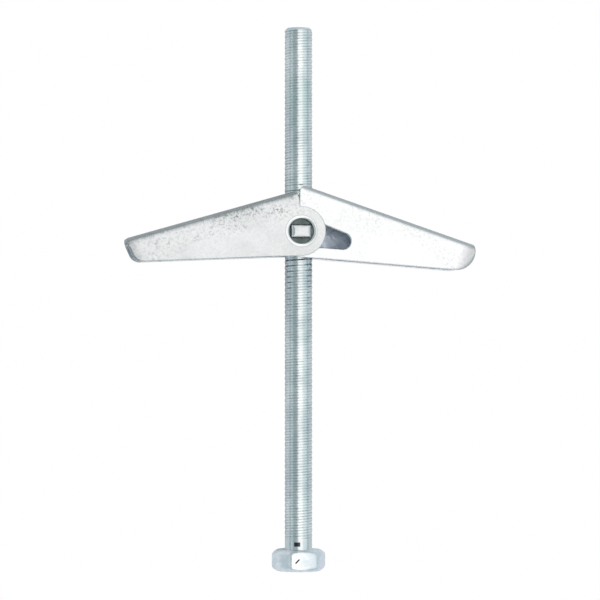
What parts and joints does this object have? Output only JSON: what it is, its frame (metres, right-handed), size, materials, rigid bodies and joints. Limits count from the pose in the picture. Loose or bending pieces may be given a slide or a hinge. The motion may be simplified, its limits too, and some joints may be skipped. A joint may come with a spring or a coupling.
{
  "type": "spring toggle bolt",
  "caption": "Hex bolt with a trunnion nut and two sprung sheet-steel wings that fold to pass a drilled hole and spring open behind it.",
  "frame": {"origin": "on the bolt's axis, in the plane of the head's bearing face", "axes": "+Y along the bolt from the head to the tip, +X towards the right wing when it is open, +Z square to both, away from the surface the bolt lies on; the wings turn about Z"},
  "size_m": [0.0807, 0.125, 0.0144],
  "materials": {
    "bolt_zinc": "bright zinc plate, threaded",
    "nut_zinc": "bright zinc plate over a cold-formed body",
    "wing_zinc": "bright zinc plate over pressed sheet, finely grained at the bends",
    "spring_steel": "drawn spring wire"
  },
  "bodies": {
    "bolt": {"hex_bolt": "bolt_zinc"},
    "nut": {"trunnion_nut": "nut_zinc", "torsion_spring": "spring_steel"},
    "left_wing": {"left_wing": "wing_zinc"},
    "right_wing": {"right_wing": "wing_zinc"}
  },
  "joints": [
    {"name": "nut_travel", "type": "slide", "parent": "bolt", "child": "nut", "axis": [0, 1, 0], "range_m": [-0.031, 0.042]},
    {"name": "left_wing_fold", "type": "hinge", "parent": "nut", "child": "left_wing", "pos_m": [0, 0.07305, 0], "axis": [0, 0, 1], "range_deg": [0, 80], "stiffness_Nm_per_rad": 0.02, "springref_deg": -28.65, "deforming": ["torsion_spring"]},
    {"name": "right_wing_fold", "type": "hinge", "parent": "nut", "child": "right_wing", "pos_m": [0, 0.07305, 0], "axis": [0, 0, -1], "range_deg": [0, 78], "stiffness_Nm_per_rad": 0.02, "springref_deg": -28.65, "deforming": ["torsion_spring"]}
  ]
}
